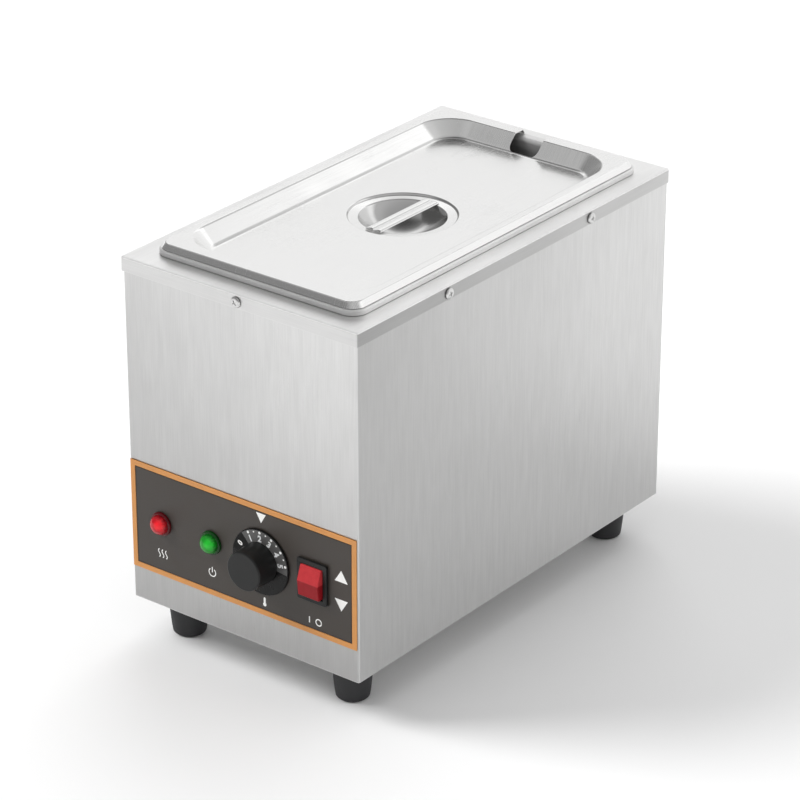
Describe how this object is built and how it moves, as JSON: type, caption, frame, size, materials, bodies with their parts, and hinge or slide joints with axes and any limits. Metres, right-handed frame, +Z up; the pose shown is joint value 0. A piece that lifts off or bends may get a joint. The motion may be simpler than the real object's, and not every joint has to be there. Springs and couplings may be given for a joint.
{
  "type": "chocolate melter",
  "caption": "Electric chocolate melter: stainless housing on rubber feet, heated well with a lift-out pan and a notched lid, and a front panel with dial, rocker switch and signal lamps.",
  "frame": {"origin": "on the floor, under the middle of the bounding box", "axes": "+X to the right as seen from the front, +Y to the rear, +Z up; the control panel faces -Y"},
  "size_m": [0.2084, 0.3904, 0.3002],
  "materials": {
    "brushed_steel": "brushed stainless sheet",
    "polished_steel": "satin pressed stainless",
    "zinc_steel": "plated steel",
    "mineral_wool": "matt felted wool",
    "orange_overlay": "printed overlay",
    "charcoal_overlay": "printed overlay",
    "black_plastic": "moulded",
    "dial_print": "printed dial",
    "rocker_red": "moulded",
    "red_lens": "clear coloured lens",
    "green_lens": "clear coloured lens",
    "rubber": "moulded",
    "polyamide": "moulded",
    "copper": "bare metal",
    "lead_brown": "insulated wire",
    "lead_blue": "insulated wire",
    "lead_green": "insulated wire"
  },
  "bodies": {
    "housing": {"housing_wrap": "brushed_steel", "rear_panel": "brushed_steel", "base_tray": "brushed_steel", "top_cap": "brushed_steel", "well": "brushed_steel", "insulation": "mineral_wool", "panel_border": "orange_overlay", "panel_field": "charcoal_overlay", "lamp_red_lens": "red_lens", "lamp_green_lens": "green_lens", "lamp_red_barrel": "black_plastic", "lamp_green_barrel": "black_plastic", "lamp_red_nut": "black_plastic", "lamp_green_nut": "black_plastic", "thermostat_body": "black_plastic", "switch_housing": "black_plastic", "gland_body": "black_plastic", "gland_nut": "black_plastic", "thermal_cutout": "black_plastic", "foot_front_left": "rubber", "foot_screw_front_left": "zinc_steel", "foot_front_right": "rubber", "foot_screw_front_right": "zinc_steel", "foot_rear_left": "rubber", "foot_screw_rear_left": "zinc_steel", "foot_rear_right": "rubber", "foot_screw_rear_right": "zinc_steel", "cap_screw_front": "zinc_steel", "cap_screw_rear": "zinc_steel", "cap_screw_right_front": "zinc_steel", "cap_screw_right_rear": "zinc_steel", "cap_screw_left_front": "zinc_steel", "cap_screw_left_rear": "zinc_steel", "rear_screw_low_left": "zinc_steel", "rear_screw_low_right": "zinc_steel", "rear_screw_high_left": "zinc_steel", "rear_screw_high_right": "zinc_steel", "heating_element": "zinc_steel", "clamp_plate": "zinc_steel", "clamp_nut_front": "zinc_steel", "clamp_nut_rear": "zinc_steel", "bulb_clip": "zinc_steel", "thermostat_bulb": "copper", "earth_stud": "copper", "terminal_block": "polyamide", "lead_supply": "lead_brown", "lead_switch_to_thermostat": "lead_brown", "lead_thermostat_to_element": "lead_brown", "lead_element_to_terminal": "lead_blue", "lead_earth": "lead_green"},
    "pan": {"pan": "polished_steel"},
    "lid": {"lid": "polished_steel", "lid_strap": "polished_steel"},
    "knob": {"dial": "dial_print", "knob_grip": "black_plastic", "thermostat_shaft": "zinc_steel"},
    "switch_rocker": {"rocker": "rocker_red"}
  },
  "joints": [
    {"name": "pan_lift", "type": "slide", "parent": "housing", "child": "pan", "axis": [0, 0, 1], "range_m": [0, 0.165]},
    {"name": "lid_lift", "type": "slide", "parent": "pan", "child": "lid", "axis": [0, 0, 1], "range_m": [0, 0.04]},
    {"name": "knob_turn", "type": "hinge", "parent": "housing", "child": "knob", "pos_m": [0.0176, -0.1869, 0.0973], "axis": [0, 1, 0], "range_deg": [-81, 60]},
    {"name": "rocker_turn", "type": "hinge", "parent": "housing", "child": "switch_rocker", "pos_m": [0.063, -0.17475, 0.0973], "axis": [1, 0, 0], "range_deg": [0, 14]}
  ]
}
